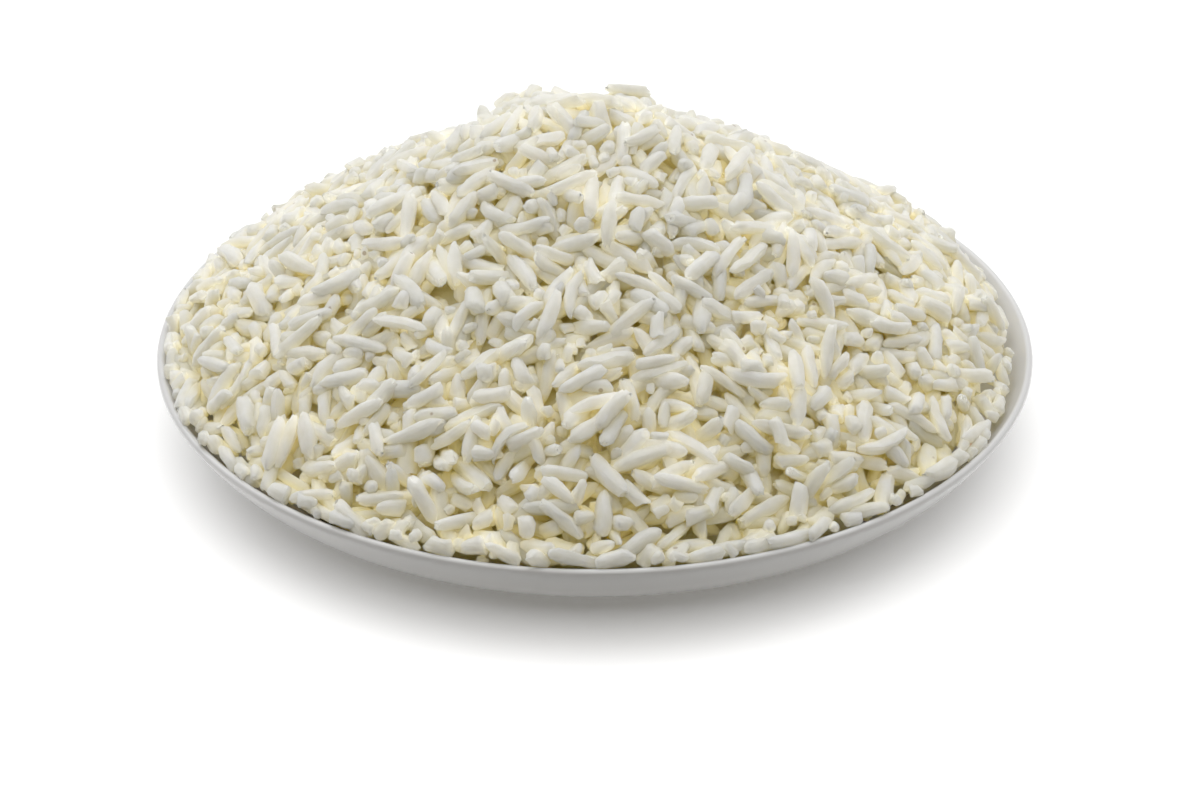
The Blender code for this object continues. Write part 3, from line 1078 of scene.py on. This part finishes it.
def make_floor():
    """The white floor. It is hidden from diffuse rays, so it doesn't light the plate from below."""
    deselect()
    bpy.ops.mesh.primitive_plane_add(size=6, location=(0, 0, 0))
    floor = bpy.context.object
    floor.name = "floor"
    made, _, _, shader = new_material("white_floor")
    shader.inputs["Base Color"].default_value = (0.95, 0.95, 0.95, 1)
    shader.inputs["Roughness"].default_value = 0.9
    shader.inputs["Specular IOR Level"].default_value = 0.1
    floor.data.materials.append(made)
    floor.visible_diffuse = False
    return floor


def aim(thing, target):
    direction = Vector(target) - thing.location
    thing.rotation_euler = direction.to_track_quat("-Z", "Y").to_euler()


def add_softbox(name, place, target, size, power):
    light = bpy.data.lights.new(name, "AREA")
    light.shape = "RECTANGLE"
    light.size, light.size_y = size
    light.energy = power
    lamp = bpy.data.objects.new(name, light)
    bpy.context.scene.collection.objects.link(lamp)
    lamp.location = place
    aim(lamp, target)
    return lamp


def soft_room():
    """Light from all round: white and bright from behind and above, dim and slightly warm from the front."""
    world = bpy.data.worlds.new("soft_room")
    bpy.context.scene.world = world
    world.use_nodes = True
    nodes, links = world.node_tree.nodes, world.node_tree.links
    sky = nodes["Background"]
    place = nodes.new("ShaderNodeTexCoord")
    back = nodes.new("ShaderNodeVectorMath")
    back.operation = "DOT_PRODUCT"
    back.inputs[1].default_value = (0, 0.95, 0.31)
    links.new(place.outputs["Generated"], back.inputs[0])
    behind = nodes.new("ShaderNodeMapRange")
    behind.interpolation_type = "SMOOTHSTEP"
    behind.inputs["From Min"].default_value = -0.7
    behind.inputs["From Max"].default_value = 0.65
    behind.inputs["To Min"].default_value = 0.01
    behind.inputs["To Max"].default_value = 0.76
    links.new(back.outputs["Value"], behind.inputs["Value"])
    links.new(behind.outputs["Result"], sky.inputs["Strength"])
    warmth = nodes.new("ShaderNodeValToRGB")
    warmth.color_ramp.elements[0].position = 0.2
    warmth.color_ramp.elements[0].color = (1, 0.89, 0.64, 1)
    warmth.color_ramp.elements[1].position = 0.6
    warmth.color_ramp.elements[1].color = (1, 1, 1, 1)
    links.new(behind.outputs["Result"], warmth.inputs["Fac"])
    links.new(warmth.outputs["Color"], sky.inputs["Color"])


def light_floor(floor):
    """A softbox for the floor alone, which keeps the shadow on it faint and near the plate."""
    lit = bpy.data.collections.new("lit_floor")
    lit.objects.link(floor)
    lamp = add_softbox("floor_softbox", (0, -0.5, 1.2), (0, 0, 0), size=(1.8, 1.4), power=23)
    lamp.light_linking.receiver_collection = lit


def light_scene():
    add_softbox("back_softbox", (-0.3, 0.75, 1.15), (0, 0, 0.02), size=(1.6, 1.1), power=5)
    add_softbox("top_softbox", (0.1, -0.05, 1.4), (0, 0, 0.02), size=(1.5, 1.2), power=2.6)
    soft_room()


def set_camera():
    """A long lens 640 mm away, looking down by 30 degrees from the front."""
    elevation = math.radians(30.18)
    distance = 0.640
    target = Vector((0.00095, 0, LIP_HEIGHT * MM - 0.01387))
    camera = bpy.data.cameras.new("camera")
    camera.lens = 103.5
    camera.sensor_width = 36
    camera.clip_start = 0.01
    holder = bpy.data.objects.new("camera", camera)
    bpy.context.scene.collection.objects.link(holder)
    holder.location = target + distance * Vector((0, -math.cos(elevation), math.sin(elevation)))
    aim(holder, target)
    bpy.context.scene.camera = holder


def main():
    set_camera()
    floor = make_floor()
    light_scene()
    light_floor(floor)
    bpy.context.scene.view_settings.view_transform = "Standard"
    bpy.context.scene.view_settings.gamma = VIEW_GAMMA
    bpy.context.scene.cycles.diffuse_bounces = BOUNCES
    make_plate()
    finish = cooked_rice()
    make_core(finish)
    make_grains(finish)


main()
